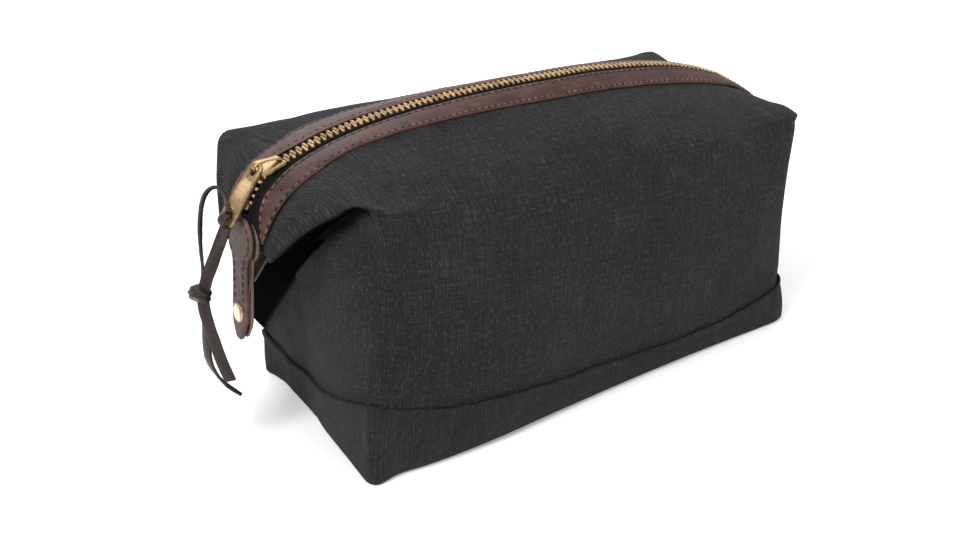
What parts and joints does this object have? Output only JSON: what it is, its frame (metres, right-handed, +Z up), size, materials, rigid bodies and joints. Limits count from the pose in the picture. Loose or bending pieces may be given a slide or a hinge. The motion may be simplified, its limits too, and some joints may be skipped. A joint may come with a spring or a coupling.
{
  "type": "shaving kit bag",
  "caption": "Boxy canvas wash bag with an arched brass zip along the top, leather trims and end tabs, and a knotted leather lace on the zip pull.",
  "frame": {"origin": "centre of the base's resting face, on the surface that the bag stands on", "axes": "+X along the bag's length towards the zip's open end, -Y is the front face, +Z up"},
  "size_m": [0.3202, 0.122, 0.1424],
  "materials": {
    "canvas": "waxed cotton canvas, matt, near black",
    "lining_cloth": "plain cotton twill lining",
    "trim_leather": "smooth dark brown leather, satin",
    "lace_leather": "oiled dark brown latigo lace",
    "zip_tape": "black woven zip tape",
    "zip_brass": "tumbled antique brass",
    "rivet_brass": "pale polished brass"
  },
  "bodies": {
    "bag": {"base_panel": "canvas", "bottom_stop": "zip_brass", "front_panel": "canvas", "front_trim_left": "trim_leather", "front_trim_right": "trim_leather", "left_anchor_strap": "trim_leather", "left_end_fold": "canvas", "left_end_top": "canvas", "left_rivet": "rivet_brass", "left_tab_filler": "trim_leather", "left_tab_front": "trim_leather", "left_tab_rear": "trim_leather", "lining": "lining_cloth", "rear_panel": "canvas", "rear_trim_left": "trim_leather", "rear_trim_right": "trim_leather", "right_anchor_strap": "trim_leather", "right_end_fold": "canvas", "right_end_top": "canvas", "right_rivet": "rivet_brass", "right_tab_filler": "trim_leather", "right_tab_front": "trim_leather", "right_tab_rear": "trim_leather", "teeth_front_left": "zip_brass", "teeth_front_right": "zip_brass", "teeth_rear_left": "zip_brass", "teeth_rear_right": "zip_brass", "top_stop_front": "zip_brass", "top_stop_rear": "zip_brass", "zip_tape_front_left": "zip_tape", "zip_tape_front_right": "zip_tape", "zip_tape_rear_left": "zip_tape", "zip_tape_rear_right": "zip_tape"},
    "mouth_front": {"front_lip": "canvas", "front_lip_lining": "lining_cloth", "front_trim_middle": "trim_leather", "teeth_front_middle": "zip_brass", "zip_tape_front_middle": "zip_tape"},
    "mouth_rear": {"rear_lip": "canvas", "rear_lip_lining": "lining_cloth", "rear_trim_middle": "trim_leather", "teeth_rear_middle": "zip_brass", "zip_tape_rear_middle": "zip_tape"},
    "slider": {"slider_body": "zip_brass", "slider_bridge": "zip_brass"},
    "pull": {"pull_tab": "zip_brass"},
    "lace": {"lace_loop": "lace_leather", "lace_front": "lace_leather", "lace_rear": "lace_leather", "lace_knot": "lace_leather"}
  },
  "joints": [
    {"name": "slider_travel", "type": "hinge", "parent": "bag", "child": "slider", "pos_m": [-0.006, 0, -0.309], "axis": [0, 1, 0], "range_deg": [0, 33], "deforming": ["teeth_front_left", "teeth_front_middle", "teeth_front_right", "teeth_rear_left", "teeth_rear_middle", "teeth_rear_right", "zip_tape_front_left", "zip_tape_front_middle", "zip_tape_front_right", "zip_tape_rear_left", "zip_tape_rear_middle", "zip_tape_rear_right", "top_stop_front", "top_stop_rear", "bottom_stop", "lace_loop", "lace_front", "lace_rear", "lace_knot"]},
    {"name": "pull_swivel", "type": "hinge", "parent": "slider", "child": "pull", "pos_m": [-0.14308, 0, 0.1242], "axis": [0, 1, 0], "range_deg": [0, 166]},
    {"name": "lace_swing", "type": "hinge", "parent": "pull", "child": "lace", "pos_m": [-0.15729, 0, 0.10314], "axis": [0, 1, 0], "range_deg": [-5, 40]},
    {"name": "mouth_front_open", "type": "hinge", "parent": "bag", "child": "mouth_front", "pos_m": [0, -0.0552, 0.1144], "axis": [1, 0, 0], "range_deg": [0, 45]},
    {"name": "mouth_rear_open", "type": "hinge", "parent": "bag", "child": "mouth_rear", "pos_m": [0, 0.0552, 0.1144], "axis": [-1, 0, 0], "range_deg": [0, 45]}
  ],
  "couplings": [
    {"joint": "pull_swivel", "follows": "slider_travel", "ratio": 5}
  ]
}
